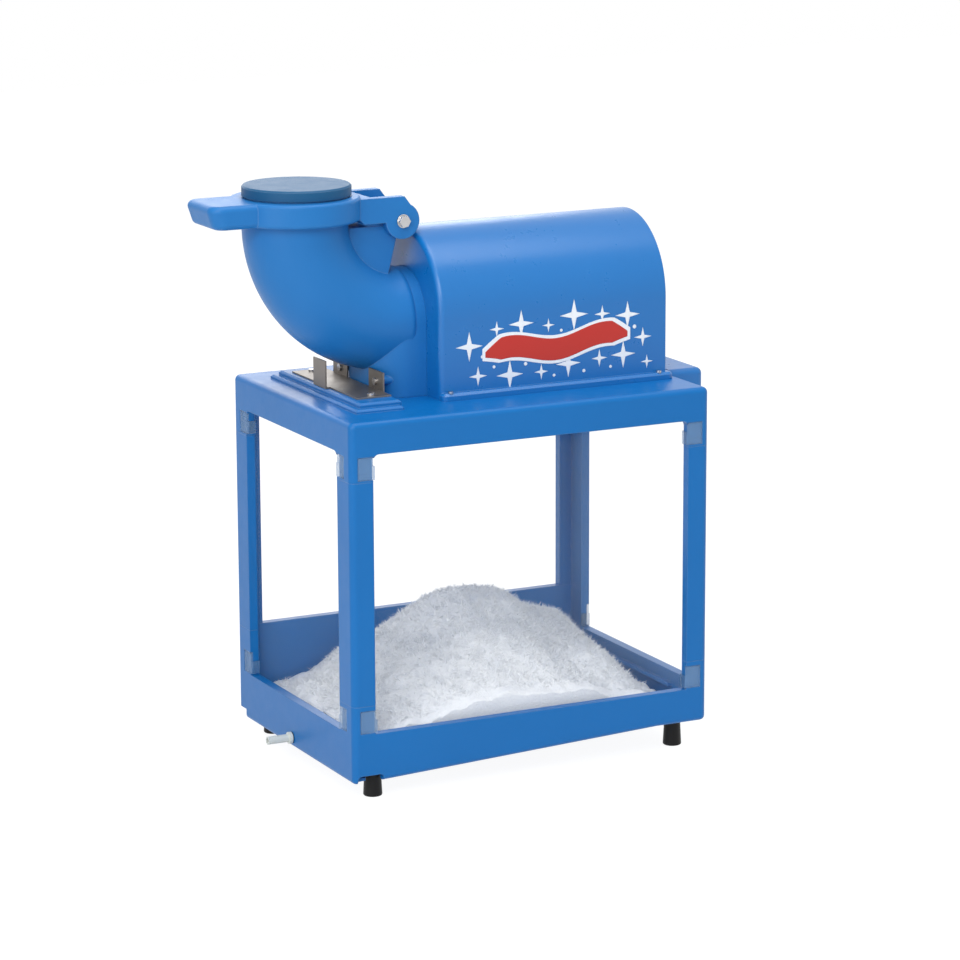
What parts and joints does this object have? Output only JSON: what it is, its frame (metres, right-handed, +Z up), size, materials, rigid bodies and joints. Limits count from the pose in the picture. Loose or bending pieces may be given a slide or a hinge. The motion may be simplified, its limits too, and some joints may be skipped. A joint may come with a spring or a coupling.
{
  "type": "ice shaver",
  "caption": "Electric ice shaver on a windowed cabinet, with a hinged feed lever over a curved hopper, a motor under an arched cover and shaved ice in the tray",
  "frame": {"origin": "On the floor, under the middle of the machine's full length and of the cabinet's width", "axes": "+Z up, +X from the hopper and its lever handle towards the switch box, +Y towards the open serving side"},
  "size_m": [0.6658, 0.358, 0.74],
  "materials": {
    "cabinet_blue": "satin",
    "clear_acrylic": "gloss",
    "black_rubber": "matte",
    "steel_hardware": "satin",
    "white_plastic": "satin",
    "shaved_ice": "matte",
    "cast_blue": "satin",
    "grey_casting": "satin",
    "stainless_steel": "satin",
    "slate_cap": "satin",
    "motor_grey": "satin",
    "laminated_core": "matte",
    "copper_winding": "satin",
    "black_plastic": "satin",
    "hood_blue": "gloss"
  },
  "bodies": {
    "cabinet": {"base_tray": "cabinet_blue", "bracket_screws": "steel_hardware", "capacitor": "black_plastic", "capacitor_clip": "stainless_steel", "cover_end_panel": "hood_blue", "cover_screws": "steel_hardware", "cradle_screws": "steel_hardware", "drain_ring": "black_rubber", "drain_spigot": "white_plastic", "foot_screws": "steel_hardware", "front_bearing": "steel_hardware", "front_end_bell": "grey_casting", "front_left_post": "cabinet_blue", "front_right_post": "cabinet_blue", "front_window": "clear_acrylic", "head_bracket": "stainless_steel", "head_screws": "steel_hardware", "hinge_bolt": "steel_hardware", "hinge_nut": "steel_hardware", "hinge_washers": "steel_hardware", "ice_chute": "stainless_steel", "left_window": "clear_acrylic", "motor_cover": "hood_blue", "motor_cradle": "grey_casting", "motor_screws": "steel_hardware", "motor_shell": "motor_grey", "motor_strap": "stainless_steel", "power_gland": "black_plastic", "rear_bearing": "steel_hardware", "rear_end_bell": "grey_casting", "rear_left_post": "cabinet_blue", "rear_right_post": "cabinet_blue", "right_window": "clear_acrylic", "rocker_bezel": "black_plastic", "rubber_feet": "black_rubber", "shaft_seal": "black_rubber", "shaved_ice_pile": "shaved_ice", "shaver_head": "cast_blue", "stator_core": "laminated_core", "stator_windings": "copper_winding", "switch_box": "hood_blue", "top_deck": "cabinet_blue", "window_clips": "clear_acrylic"},
    "cutter": {"motor_shaft": "steel_hardware", "rotor_core": "laminated_core", "cooling_fan": "black_plastic", "cutter_disc": "grey_casting", "shaving_blades": "steel_hardware", "blade_screws": "steel_hardware", "cutter_nut": "steel_hardware"},
    "lever": {"feed_lever": "cast_blue", "pusher_cap": "slate_cap", "pusher_plug": "grey_casting", "plug_screws": "steel_hardware"},
    "switch": {"power_rocker": "black_plastic"}
  },
  "joints": [
    {"name": "cutter_spin", "type": "hinge", "parent": "cabinet", "child": "cutter", "pos_m": [-0.06125, 0, 0.5645], "axis": [1, 0, 0], "continuous": true},
    {"name": "lever_hinge", "type": "hinge", "parent": "cabinet", "child": "lever", "pos_m": [-0.07675, 0, 0.691], "axis": [0, 1, 0], "range_deg": [0, 110]},
    {"name": "power_switch", "type": "hinge", "parent": "cabinet", "child": "switch", "pos_m": [0.32725, 0, 0.447], "axis": [0, 1, 0], "range_deg": [-12, 0]}
  ]
}
